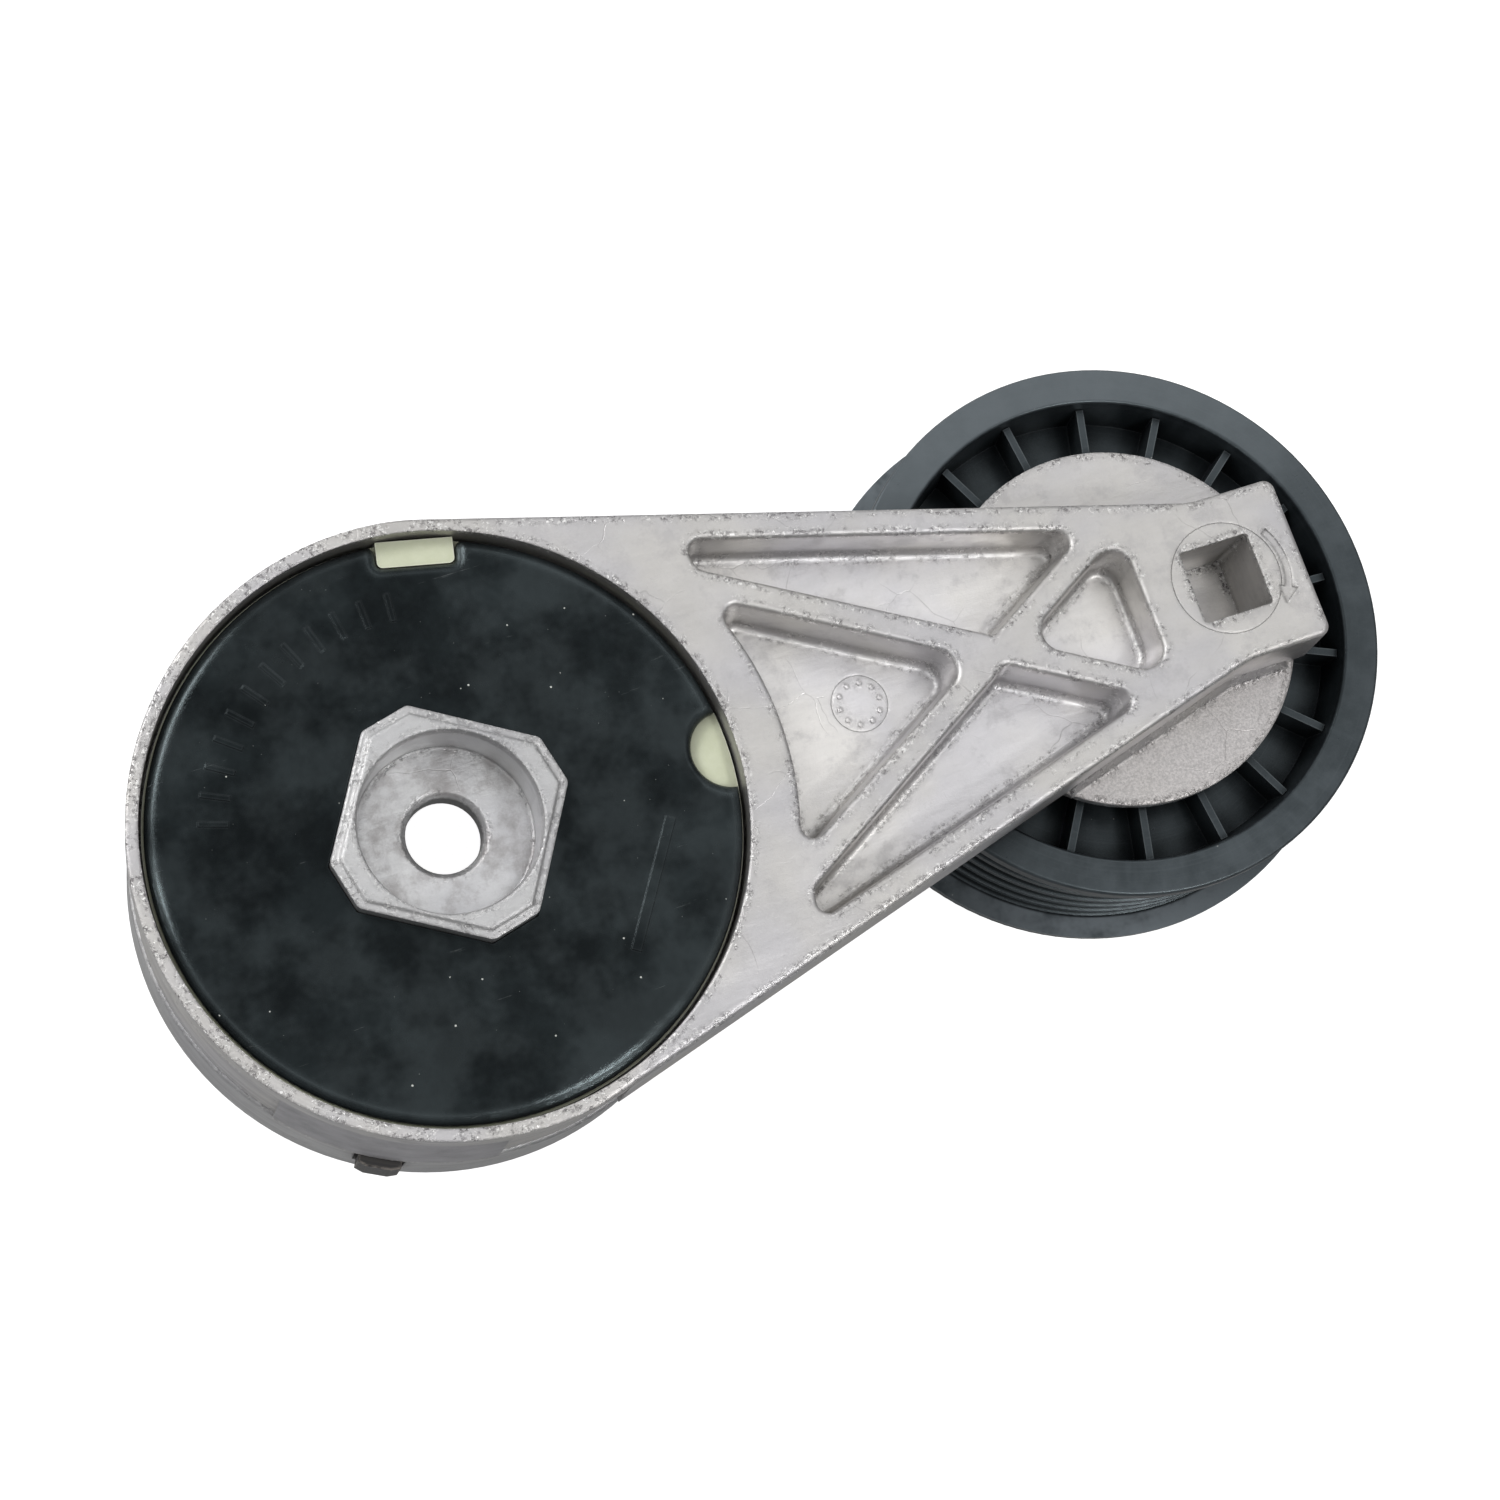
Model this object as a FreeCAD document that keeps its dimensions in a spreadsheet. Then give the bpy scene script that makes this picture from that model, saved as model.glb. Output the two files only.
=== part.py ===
import FreeCAD, Part
import math
import os
import re
import Sketcher
from FreeCAD import Placement, Rotation, Vector

# Automatic belt tensioner with its idler pulley. Millimetres and degrees.
# Frame: +Z runs along the pivot axis towards the front, the origin is where that axis meets the base's
# back face, and +X points from the pivot to the pulley with the arm resting on its free stop.

SIZES = {
    # overall
    "front_z": 37.5,            # front face of the arm, above the mounting face
    "arm_reach": 103.0,         # pivot axis to pulley axis
    "gap": 0.04,                # radial running clearance
    "seat_gap": 0.02,           # clearance between pieces that stay together
    "sink": 0.5,                # how far a feature runs into the one it stands on
    "past": 1.0,                # how far a cut runs past the face it opens
    "small_edge": 0.5,
    # base: spring case and spindle
    "case_r": 42.15,
    "case_wall": 2.75,
    "case_height": 15.0,
    "case_floor": 4.0,
    "case_edge": 1.2,
    "spindle_r": 17.3,
    "shoulder_z": 33.9,         # seat of the front plate on the spindle
    "boss_across": 28.3,        # square boss, across flats
    "boss_corner": 5.0,
    "boss_turn": -31.4,
    "boss_proud": 1.2,          # above the arm's front face
    "boss_step": 0.45,
    "boss_border": 0.9,
    "boss_round": 1.2,
    "boss_slope": 40.0,
    "head_seat_z": 29.9,        # floor of the counterbore
    "head_seat_r": 12.3,
    "bolt_hole_r": 5.25,
    "bolt_chamfer": 0.75,
    "web_under_z": 26.15,
    "core_top_r": 11.0,
    "core_back_r": 12.5,
    "relief_depth": 0.8,
    "relief_in_r": 19.5,
    "relief_out_r": 37.0,
    "pin_pad_r": 6.5,
    "pin_r": 4.0,
    "pin_out": 7.0,
    "pin_neck": 0.5,            # undercut at the mounting face
    "pin_shank_r": 3.4,         # the part set in the casting
    "pin_offset": 30.0,
    "pin_turn": 150.0,
    # front plate and damper
    "plate_r": 40.0,
    "plate_thick": 2.0,
    "plate_edge_r": 1.1,
    "notch_wide": 10.9,
    "notch_floor_r": 36.4,
    "notch_turn": 77.9,
    "notch_mouth_r": 1.5,
    "notch_corner_r": 0.8,
    "round_notch_r": 5.4,
    "round_notch_at": 40.2,
    "round_notch_turn": -1.9,
    "tick_r": 31.0,             # raised ticks and bar, plain marks on the plate
    "tick_long": 4.0,
    "tick_wide": 0.7,
    "ticks": 12.0,
    "ticks_from": 86.0,
    "ticks_span": 76.0,
    "bar_long": 19.0,
    "bar_wide": 1.4,
    "bar_off": 28.5,
    "bar_turn": -34.0,
    "plate_mark_high": 0.2,
    "damper_out_r": 40.3,
    "damper_in_r": 24.0,
    "damper_step_r": 33.0,
    "damper_thin": 1.5,
    "key_gap": 0.15,
    "key_high": 1.2,            # key in the plate's notch, above the damper's face
    "cone_thick": 0.6,
    "cone_gap": 0.6,
    # bushings on the spindle
    "bush_flange": 1.2,
    "bush_front_z": 18.0,
    "bush_rear_z": 16.5,
    # arm
    "collar_r": 42.4,
    "collar_depth": 5.5,
    "rim_in_r": 40.7,
    "skirt_r": 41.7,
    "skirt_wall": 2.5,
    "skirt_gap": 0.4,
    "hub_web_top": 31.0,
    "hub_web_thick": 3.5,
    "sleeve_in_r": 19.4,
    "sleeve_out_r": 23.0,
    "sleeve_end_z": 5.2,
    "edge_turn": 15.5,          # slope of the beam's long edges to the arm's axis
    "beam_depth": 10.5,
    "beam_draft": 2.5,
    "nose_half": 12.0,
    "nose_past": 25.4,          # nose end beyond the pulley axis
    "disc_r": 26.4,
    "disc_thick": 1.5,
    "disc_drop": 11.4,          # disc's front face below the arm's front face
    "foot_proud": 1.5,          # sloping foot of the beam on the dust disc
    "foot_high": 1.8,
    "foot_slope": 30.0,
    "foot_from": 22.5,          # start of the foot before the pulley axis
    "flare_from": 16.2,
    "foot_short": 2.5,          # foot's end behind the nose
    "pad_from": 220.0,
    "pad_to": 263.0,
    "pad_proud": 0.15,
    "pad_slope": 1.0,
    "pad_top_drop": 2.6,        # top of the pad below the front face
    "root_half": 22.0,          # the beam is deeper where it joins the hub
    "root_depth": 18.0,
    "root_from_x": 38.0,
    "root_end_x": 56.0,
    "pocket_depth": 7.5,
    "pocket_draft": 4.0,
    "edge_wall": 3.7,           # from the beam's long edge to the outer pockets
    "rib_cross": 80.9,          # where the crossed ribs meet on the arm's axis
    "rib_turn": 30.0,
    "rib_wide": 3.7,
    "inner_pocket_r": 46.2,
    "outer_pocket_r": 50.4,
    "tip_wall_x": 103.8,
    "stamp_at": 61.2,           # ring of dots on the inner pocket's floor
    "stamp_r": 4.0,
    "stamp_dots": 10.0,
    "insert_r": 8.1,            # witness line round the wrench square
    "arrow_in_r": 8.7,
    "arrow_out_r": 9.8,
    "arrow_from": -24.0,
    "arrow_to": 32.0,
    "arrow_head": 2.6,
    "mark_depth": 0.25,
    "mark_line": 0.14,
    "rib_corner_r": 1.2,
    "end_corner_r": 1.8,
    "wide_corner_r": 3.0,
    "floor_r": 1.2,
    "front_edge_r": 0.7,
    "nose_corner_r": 1.6,
    "nose_bay_r": 14.0,
    "spring_lug_wide": 8.0,
    "spring_lug_lead": 7.2,
    "spring_lug_in_r": 24.2,
    "spring_lug_out_r": 36.5,
    "drive_square": 10.8,
    "drive_at": 13.3,           # centre beyond the pulley axis
    "drive_depth": 12.2,
    "drive_draft": 2.0,
    # pulley
    "belt_pitch": 3.56,
    "grooves": 6.0,
    "pulley_back_z": 1.8,
    "front_flange": 2.0,
    "back_flange": 1.6,
    "front_flange_r": 39.4,
    "back_flange_r": 41.2,
    "crest_r": 37.9,
    "groove_depth": 2.6,
    "groove_top": 2.6,
    "groove_floor": 0.7,
    "lip_r": 34.2,
    "rim_taper": 0.9,
    "web_front_z": 18.3,
    "web_back_z": 10.0,
    "pulley_hub_r": 24.2,
    "pulley_ribs": 18.0,
    "rib_thick": 1.1,
    "rib_front_z": 23.6,
    "rib_phase": -2.7,
    "bearing_shoulder": 1.2,    # ledges that hold the bearing's outer ring
    "hub_taper": 0.4,
    # ball bearing
    "bearing_bore_r": 8.5,
    "bearing_out_r": 20.0,
    "bearing_wide": 12.0,
    "bearing_edge": 0.4,
    "inner_land_r": 12.3,
    "outer_land_r": 16.4,
    "ball_circle_r": 14.25,
    "ball_r": 3.37,
    "balls": 8.0,
    "race_gap": 0.04,
    "race_open": 1.04,          # track radius over ball radius
    "seal_groove_r": 17.0,
    "seal_thick": 0.8,
    "seal_inset": 0.3,
    "seal_lip_gap": 0.08,
    "seal_valley": 0.4,         # half-width of the valley round the seal's face
    "cage_thick": 1.1,
    "cage_gap": 0.1,            # round each ball
    "rivet_r": 0.5,
    # pulley bolt
    "stub_r": 8.45,
    "stub_shoulder_r": 12.0,
    "thread_r": 4.0,
    "bolt_length": 17.0,
    "bolt_flange_r": 9.0,
    "bolt_flange_thick": 1.3,
    "bolt_hex": 13.0,
    "bolt_head": 4.0,
    "bolt_head_chamfer": 0.7,
    "shield_r": 18.6,
    "shield_thick": 0.8,
    "shield_cone": 1.0,
    # torsion spring
    "wire_wide": 6.0,
    "wire_high": 4.8,
    "coil_r": 33.0,
    "coil_pitch": 5.15,
    "coil_turns": 3.25,
    "coil_start_z": 4.3,
    "tang_turn": 241.3,
    "tang_r": 43.7,
    "tang_high": 7.6,
    "tang_low_z": 6.6,
    "tang_bevel_long": 0.45,
    "tang_bevel_wide": 1.3,
    # internal stops, angles at rest
    "stop_in_r": 36.9,
    "stop_lug_from": 100.0,
    "stop_lug_to": 111.0,
    "lift_range": 50.0,
    "stop_wide": 7.0,
    "stop_slack": 0.6,
}

doc = FreeCAD.newDocument("belt_tensioner")
sheet = doc.addObject("Spreadsheet::Sheet", "Sizes")
for row, (name, number) in enumerate(SIZES.items(), 1):
    sheet.set("A%d" % row, name)
    sheet.set("B%d" % row, str(number))
    sheet.setAlias("B%d" % row, name)
doc.recompute()

ALIAS = re.compile(r"\b(%s)\b" % "|".join(SIZES))
PULLEY_WIDE = "(belt_pitch * (grooves - 1) + groove_top + front_flange + back_flange)"
PULLEY_MIDDLE = "(pulley_back_z + %s / 2)" % PULLEY_WIDE
BEARING_FRONT = "(%s + bearing_wide / 2)" % PULLEY_MIDDLE
BEARING_BACK = "(%s - bearing_wide / 2)" % PULLEY_MIDDLE
made = []                       # the objects that become files


def bound(text):
    """A formula in plain size names, as an expression on the sheet."""
    return ALIAS.sub(r"Sizes.\1", str(text))


def size(text):
    """The present value of a formula."""
    found = sheet.evalExpression(bound(text))
    return float(getattr(found, "Value", found))


def bind(thing, **formulas):
    for prop, text in formulas.items():
        thing.setExpression(prop.replace("__", "."), bound(text))


def keep(thing, label):
    """Name a finished sub-part; its label names its file."""
    thing.Label = label
    made.append(thing)
    return thing


# ---------------------------------------------------------------- sketches and features

def new_body(label):
    return keep(doc.addObject("PartDesign::Body", label), label)


def sketch(body, plane="XY_Plane", height=0, turn=0):
    """An empty sketch on one of the body's own origin planes, lifted and turned about the plane's normal."""
    face = next(item for item in body.Origin.OriginFeatures if item.Role == plane)
    made_sketch = body.newObject("Sketcher::SketchObject", "sketch")
    made_sketch.AttachmentSupport = [(face, "")]
    made_sketch.MapMode = "FlatFace"
    made_sketch.AttachmentOffset = Placement(Vector(), Rotation(Vector(0, 0, 1), 1))
    bind(made_sketch, AttachmentOffset__Base__z=height, AttachmentOffset__Rotation__Angle=turn)
    return made_sketch


def arc_between(start, end, radius):
    """Arc between two points: a positive radius bulges to the right of the way from start to end."""
    chord = end - start
    half = chord.Length / 2
    reach = math.sqrt(max(radius * radius - half * half, 0.0))
    left = Vector(-chord.y, chord.x, 0).normalize()
    centre = (start + end) / 2 + left * (reach if radius > 0 else -reach)
    first, last = (start, end) if radius > 0 else (end, start)
    from_angle = math.atan2(first.y - centre.y, first.x - centre.x)
    to_angle = math.atan2(last.y - centre.y, last.x - centre.x)
    if to_angle <= from_angle:
        to_angle += 2 * math.pi
    return Part.ArcOfCircle(Part.Circle(centre, Vector(0, 0, 1), abs(radius)), from_angle, to_angle)


def outline(target, corners):
    """Closed outline, anticlockwise. A corner is (x, y), or (x, y, radius) when an arc leaves it."""
    points = [Vector(size(corner[0]), size(corner[1]), 0) for corner in corners]
    first = target.GeometryCount
    ends = []                   # sketcher's point numbers of each edge's start and end
    for i, corner in enumerate(corners):
        start, end = points[i], points[(i + 1) % len(points)]
        if len(corner) > 2:
            radius = size(corner[2])
            target.addGeometry(arc_between(start, end, radius), False)
            ends.append((1, 2) if radius > 0 else (2, 1))
        else:
            target.addGeometry(Part.LineSegment(start, end), False)
            ends.append((1, 2))
    for i, corner in enumerate(corners):
        j = (i + 1) % len(corners)
        target.addConstraint(Sketcher.Constraint("Coincident", first + i, ends[i][1], first + j, ends[j][0]))
    for i, corner in enumerate(corners):
        rules = [("DistanceX", (-1, 1, first + i, ends[i][0]), corner[0]),
                 ("DistanceY", (-1, 1, first + i, ends[i][0]), corner[1])]
        if len(corner) > 2:
            rules.append(("Radius", (first + i,), "abs(%s)" % corner[2]))
        for kind, where, text in rules:
            number = target.addConstraint(Sketcher.Constraint(kind, *where, size(text)))
            target.setExpression("Constraints[%d]" % number, bound(text))
    return target


def ring(target, radius, x=0, y=0):
    """Circle of a given radius, centred at x, y."""
    centre = Vector(size(x), size(y), 0)
    edge = target.addGeometry(Part.Circle(centre, Vector(0, 0, 1), size(radius)), False)
    for kind, where, text in (("Radius", (edge,), radius), ("DistanceX", (-1, 1, edge, 3), x),
                              ("DistanceY", (-1, 1, edge, 3), y)):
        number = target.addConstraint(Sketcher.Constraint(kind, *where, size(text)))
        target.setExpression("Constraints[%d]" % number, bound(text))
    return target


def feature(body, kind, profile, **formulas):
    made_feature = body.newObject("PartDesign::" + kind, kind)
    made_feature.Profile = profile
    profile.Visibility = False
    bind(made_feature, **formulas)
    return made_feature


def pad(body, profile, length, down=False, draft=None):
    made_pad = feature(body, "Pad", profile, Length=length)
    made_pad.Reversed = down
    if draft is not None:
        bind(made_pad, TaperAngle=draft)
    return made_pad


def pocket(body, profile, depth, up=False, draft=None):
    """Cut below the sketch, or above it when up is set; draft narrows the cut with depth."""
    made_pocket = feature(body, "Pocket", profile, Length=depth)
    made_pocket.Reversed = up
    if draft is not None:
        bind(made_pocket, TaperAngle=draft)
    return made_pocket


def turned(body, corners, cut=False, axis_x=0):
    """Full turn of an (r, z) outline about the vertical through x = axis_x."""
    profile = sketch(body, "XZ_Plane")
    bind(profile, AttachmentOffset__Base__x=axis_x)
    outline(profile, corners)
    made_turn = feature(body, "Groove" if cut else "Revolution", profile)
    made_turn.ReferenceAxis = (profile, ["V_Axis"])
    made_turn.Angle = 360
    return made_turn


def spool(body, inner, outer, low, high, cut=False, axis_x=0):
    """Plain ring or disc between two radii and two heights."""
    return turned(body, [(inner, low), (outer, low), (outer, high), (inner, high)], cut, axis_x)


def sector(inner, outer, start, stop):
    """Outline of a ring sector between two angles."""
    def at(radius, angle):
        return "(%s) * cos(%s)" % (radius, angle), "(%s) * sin(%s)" % (radius, angle)
    back = "-(%s)" % inner
    return [at(inner, start), (*at(outer, start), outer), at(outer, stop), (*at(inner, stop), back)]


def block(near, far, half):
    """Rectangle from near to far along x, and to a half-width on either side."""
    near, far, half = "(%s)" % near, "(%s)" % far, "(%s)" % half
    return [(near, "-" + half), (far, "-" + half), (far, half), (near, half)]


def soften(body, radius, wanted, kind="Fillet"):
    """Fillet or chamfer the edges of the body's last feature that wanted() picks."""
    doc.recompute()
    base = body.Tip
    names = ["Edge%d" % (i + 1) for i, edge in enumerate(base.Shape.Edges) if wanted(edge)]
    made_round = body.newObject("PartDesign::" + kind, kind)
    made_round.Base = (base, names)
    bind(made_round, **{"Radius" if kind == "Fillet" else "Size": radius})
    return made_round


def level(edge, z, within=0.01):
    """True when every point of the edge lies at height z."""
    box = edge.BoundBox
    return abs(box.ZMin - size(z)) < within and abs(box.ZMax - size(z)) < within


def reach(edge):
    """Largest distance of the edge's ends and middle from the pivot axis."""
    spots = [vertex.Point for vertex in edge.Vertexes]
    spots.append(edge.valueAt((edge.FirstParameter + edge.LastParameter) / 2))
    return max(math.hypot(spot.x, spot.y) for spot in spots)


# ---------------------------------------------------------------- fixed pieces

def boss_outline(grow):
    """Square with cut corners, grown by a margin on every side."""
    half = "(boss_across / 2 + %s)" % grow
    cut = "(boss_across / 2 + %s - boss_corner - 0.4 * %s)" % (grow, grow)
    return [(half, "-" + cut), (half, cut), (cut, half), ("-" + cut, half),
            ("-" + half, cut), ("-" + half, "-" + cut), ("-" + cut, "-" + half), (cut, "-" + half)]


def make_base():
    body = new_body("base_housing")
    turned(body, [("core_back_r", 0), ("relief_in_r", 0), ("relief_in_r + relief_depth", "relief_depth"),
                  ("relief_out_r - relief_depth", "relief_depth"), ("relief_out_r", 0),
                  ("case_r - case_edge", 0), ("case_r", "case_edge"), ("case_r", "case_height"),
                  ("case_r - case_wall", "case_height"), ("case_r - case_wall", "case_floor"),
                  ("spindle_r", "case_floor"), ("spindle_r", "shoulder_z"), (0, "shoulder_z"),
                  (0, "web_under_z"), ("core_top_r", "web_under_z")])
    boss_top = "front_z + boss_proud - boss_step"
    pad(body, outline(sketch(body, height="shoulder_z", turn="boss_turn"), boss_outline("0")),
        boss_top + " - shoulder_z")
    soften(body, "boss_round", lambda edge: abs(edge.BoundBox.ZMax - size(boss_top)) < 0.01
           and abs(edge.BoundBox.ZMin - size("shoulder_z")) < 0.01 and len(edge.Vertexes) == 2
           and reach(edge) > size("boss_across") / 2)
    pad(body, outline(sketch(body, height=boss_top, turn="boss_turn"), boss_outline("-boss_border")),
        "boss_step", draft="-boss_slope")
    seat_top = "front_z + boss_proud + 0.1"
    turned(body, [(0, "web_under_z - past"), ("bolt_hole_r", "web_under_z - past"),
                  ("bolt_hole_r", "head_seat_z - bolt_chamfer"), ("bolt_hole_r + bolt_chamfer", "head_seat_z"),
                  ("head_seat_r", "head_seat_z"), ("head_seat_r", "front_z"), ("head_seat_r + 0.35", seat_top),
                  (0, seat_top)], cut=True)
    # pad around the locating pin, level with the mounting face
    pin_x, pin_y = "pin_offset * cos(pin_turn)", "pin_offset * sin(pin_turn)"
    pad(body, ring(sketch(body), "pin_pad_r", pin_x, pin_y), "case_floor - sink")
    pocket(body, ring(sketch(body), "pin_shank_r + seat_gap", pin_x, pin_y), "case_floor + past", up=True)
    # stops for the arm: the free stop and the full-lift stop
    free_from = "stop_lug_to + stop_slack"
    lift_to = "stop_lug_from - lift_range - stop_slack"
    for start, stop in ((free_from, free_from + " + stop_wide"), (lift_to + " - stop_wide", lift_to)):
        corners = sector("stop_in_r", "case_r - case_wall + sink", start, stop)
        pad(body, outline(sketch(body, height="case_floor - sink"), corners),
            "case_height - case_floor - 2 * sink")
    # slot for the spring's outer tang, open at the top of the wall
    slot = outline(sketch(body, height="case_height + past", turn="tang_turn"),
                   block("case_r - case_wall - past", "case_r + past", "wire_wide / 2 + 0.5"))
    pocket(body, slot, "case_height + past - tang_low_z + 0.5")
    soften(body, "small_edge", lambda edge: level(edge, "case_height") and reach(edge) > size("case_r") - 0.1)


def make_pin():
    """Locating pin for the bracket, set in the back of the case."""
    body = new_body("locating_pin")
    body.Placement = Placement(Vector(), Rotation(Vector(0, 0, 1), 1))
    bind(body, Placement__Rotation__Angle="pin_turn")
    inner_end = "case_floor - seat_gap"
    turned(body, [(0, "-pin_out"), ("pin_r - pin_neck", "-pin_out"), ("pin_r", "pin_neck - pin_out"),
                  ("pin_r", "-pin_neck"), ("pin_shank_r", "-pin_neck"), ("pin_shank_r", inner_end),
                  (0, inner_end)], axis_x="pin_offset")


def make_plate():
    body = new_body("front_plate")
    pad(body, ring(sketch(body, height="shoulder_z + seat_gap"), "plate_r"), "plate_thick")
    top, through = "shoulder_z + plate_thick + past", "plate_thick + 2 * past"
    pocket(body, outline(sketch(body, height=top, turn="boss_turn"), boss_outline("0.1")), through)
    # rectangular notch with rounded corners, flaring out at its mouth
    half, outside = "notch_wide / 2", "plate_r + past"
    mouth_x, mouth_y = "(plate_r - notch_mouth_r - 0.3)", "(notch_wide / 2 + notch_mouth_r)"
    edge_x = "(plate_r - 0.3)"
    corner_x, corner_y = "notch_floor_r + notch_corner_r", "(notch_wide / 2 - notch_corner_r)"
    notch = outline(sketch(body, height=top, turn="notch_turn"),
                    [("notch_floor_r", "-" + corner_y, "notch_corner_r"), (corner_x, "-" + half),
                     (mouth_x, "-" + half, "-notch_mouth_r"), (edge_x, "-" + mouth_y),
                     (outside, "-" + mouth_y), (outside, mouth_y),
                     (edge_x, mouth_y, "-notch_mouth_r"), (mouth_x, half),
                     (corner_x, half, "notch_corner_r"), ("notch_floor_r", corner_y)])
    pocket(body, notch, through)
    round_notch = sketch(body, height=top, turn="round_notch_turn")
    pocket(body, ring(round_notch, "round_notch_r", "round_notch_at"), through)
    face = "shoulder_z + seat_gap + plate_thick"
    soften(body, "plate_edge_r", lambda edge: level(edge, face) and reach(edge) > size("notch_floor_r") - 2)
    mark_plate(body, face)


def mark_plate(body, face):
    """Plain raised marks: a curved row of short ticks, and one straight bar."""
    tick = sketch(body, height=face + " - sink", turn="ticks_from")
    outline(tick, block("tick_r - tick_long / 2", "tick_r + tick_long / 2", "tick_wide / 2"))
    first = pad(body, tick, "plate_mark_high + sink")
    row = body.newObject("PartDesign::PolarPattern", "ticks_in_a_row")
    row.Originals = [first]
    row.Axis = (tick, ["N_Axis"])
    bind(row, Angle="ticks_span", Occurrences="ticks")
    body.Tip = row
    bar = sketch(body, height=face + " - sink", turn="bar_turn")
    outline(bar, block("bar_off - bar_wide / 2", "bar_off + bar_wide / 2", "bar_long / 2"))
    pad(body, bar, "plate_mark_high + sink")


def make_damper():
    body = new_body("damper_ring")
    under, face = "hub_web_top + gap", "shoulder_z - gap"
    turned(body, [("damper_in_r", under), ("damper_out_r", under), ("damper_out_r", face),
                  ("damper_step_r", face), ("damper_step_r", under + " + damper_thin"),
                  ("damper_in_r", under + " + damper_thin")])
    # key that fills the plate's rectangular notch
    key = outline(sketch(body, height="shoulder_z - sink", turn="notch_turn"),
                  block("notch_floor_r + key_gap", "damper_out_r - 0.1", "notch_wide / 2 - key_gap"))
    pad(body, key, "key_high + sink")
    soften(body, "notch_corner_r", lambda edge: abs(edge.BoundBox.ZMax - size("shoulder_z + key_high")) < 0.01
           and edge.BoundBox.ZLength > 1 and reach(edge) < size("notch_floor_r") + 2)


def make_cone_spring():
    body = new_body("damper_spring")
    low, high = "hub_web_top + gap + damper_thin + 0.05", "shoulder_z - 0.03"
    turned(body, [("damper_in_r + cone_gap", high + " - cone_thick"), ("damper_step_r - cone_gap", low),
                  ("damper_step_r - cone_gap", low + " + cone_thick"), ("damper_in_r + cone_gap", high)])


def make_bushings():
    inner, outer, flange = "spindle_r + gap", "sleeve_in_r - seat_gap", "sleeve_out_r - cone_gap"
    front = new_body("front_bushing")
    turned(front, [(inner, "bush_front_z"), (outer, "bush_front_z"), (outer, "hub_web_top + seat_gap"),
                   (flange, "hub_web_top + seat_gap"), (flange, "hub_web_top + bush_flange"),
                   (inner, "hub_web_top + bush_flange")])
    rear = new_body("rear_bushing")
    turned(rear, [(inner, "case_floor + gap"), (flange, "case_floor + gap"),
                  (flange, "sleeve_end_z - seat_gap"), (outer, "sleeve_end_z - seat_gap"),
                  (outer, "bush_rear_z"), (inner, "bush_rear_z")])


def make_spring():
    """Rectangular wire wound on a helix; one tang goes out through the case, the other in towards the hub."""
    coil = doc.addObject("Part::Helix", "coil_path")
    coil.Placement = Placement(Vector(), Rotation(Vector(0, 0, 1), 1))
    bind(coil, Pitch="coil_pitch", Height="coil_pitch * coil_turns", Radius="coil_r",
         Placement__Base__z="coil_start_z + wire_high / 2", Placement__Rotation__Angle="tang_turn")
    section = doc.addObject("Sketcher::SketchObject", "wire_section")
    outline(section, [("coil_r - wire_wide / 2", "coil_start_z"), ("coil_r + wire_wide / 2", "coil_start_z"),
                      ("coil_r + wire_wide / 2", "coil_start_z + wire_high"),
                      ("coil_r - wire_wide / 2", "coil_start_z + wire_high")])
    turn = Rotation(Vector(0, 0, 1), size("tang_turn"))
    section.Placement = Placement(Vector(), turn.multiply(Rotation(Vector(1, 0, 0), 90)))
    wound = doc.addObject("Part::Sweep", "coil")
    wound.Spine = (coil, [])
    wound.Sections = [section]
    wound.Solid = True
    wound.Frenet = True
    pieces = [wound]
    inner_angle = "tang_turn + 360 * coil_turns"
    outer_from, outer_to = "coil_r - wire_wide / 2 + 0.3", "tang_r"
    inner_from = "sleeve_out_r + 1.5"
    half = "wire_wide / 2"
    tip = "(wire_wide / 2 - tang_bevel_wide)"
    outer_bar = [(outer_from, "-" + half), ("tang_r - tang_bevel_long", "-" + half), (outer_to, "-" + tip),
                 (outer_to, tip), ("tang_r - tang_bevel_long", half), (outer_from, half)]
    inner_bar = block(inner_from, "coil_r", half)
    for name, corners, angle, low, high in (
            ("outer_tang", outer_bar, "tang_turn", "tang_low_z", "tang_high"),
            ("inner_tang", inner_bar, inner_angle, "coil_start_z + coil_pitch * coil_turns + 0.05",
             "wire_high - 0.1")):
        bar_outline = doc.addObject("Sketcher::SketchObject", name + "_outline")
        bar_outline.Placement = Placement(Vector(), Rotation(Vector(0, 0, 1), 1))
        bind(bar_outline, Placement__Rotation__Angle=angle, Placement__Base__z=low)
        outline(bar_outline, corners)
        bar = doc.addObject("Part::Extrusion", name)
        bar.Base = bar_outline
        bar.DirMode = "Normal"
        bar.Solid = True
        bind(bar, LengthFwd=high)
        pieces.append(bar)
    whole = doc.addObject("Part::MultiFuse", "torsion_spring")
    whole.Shapes = pieces
    keep(whole, "torsion_spring")


# ---------------------------------------------------------------- arm

LONG_EDGE = "tan(edge_turn)"    # slope of the beam's long edges


def edge_height(distance, x):
    """Half-width of the beam at x for a long edge at a distance from the pivot axis."""
    return "((%s) - (%s) * sin(edge_turn)) / cos(edge_turn)" % (distance, x)


def beam_outline(edge, half, end, root="collar_r * sin(edge_turn)"):
    """Beam between two long edges, which leave the hub's circle at a tangent, out to a narrower nose."""
    meets = "((%s) - (%s) * cos(edge_turn)) / sin(edge_turn)" % (edge, half)
    root_y = edge_height(edge, root)
    return [(root, "-" + root_y), (meets, "-(%s)" % half), (end, "-(%s)" % half), (end, half),
            (meets, half), (root, root_y)]


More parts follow.
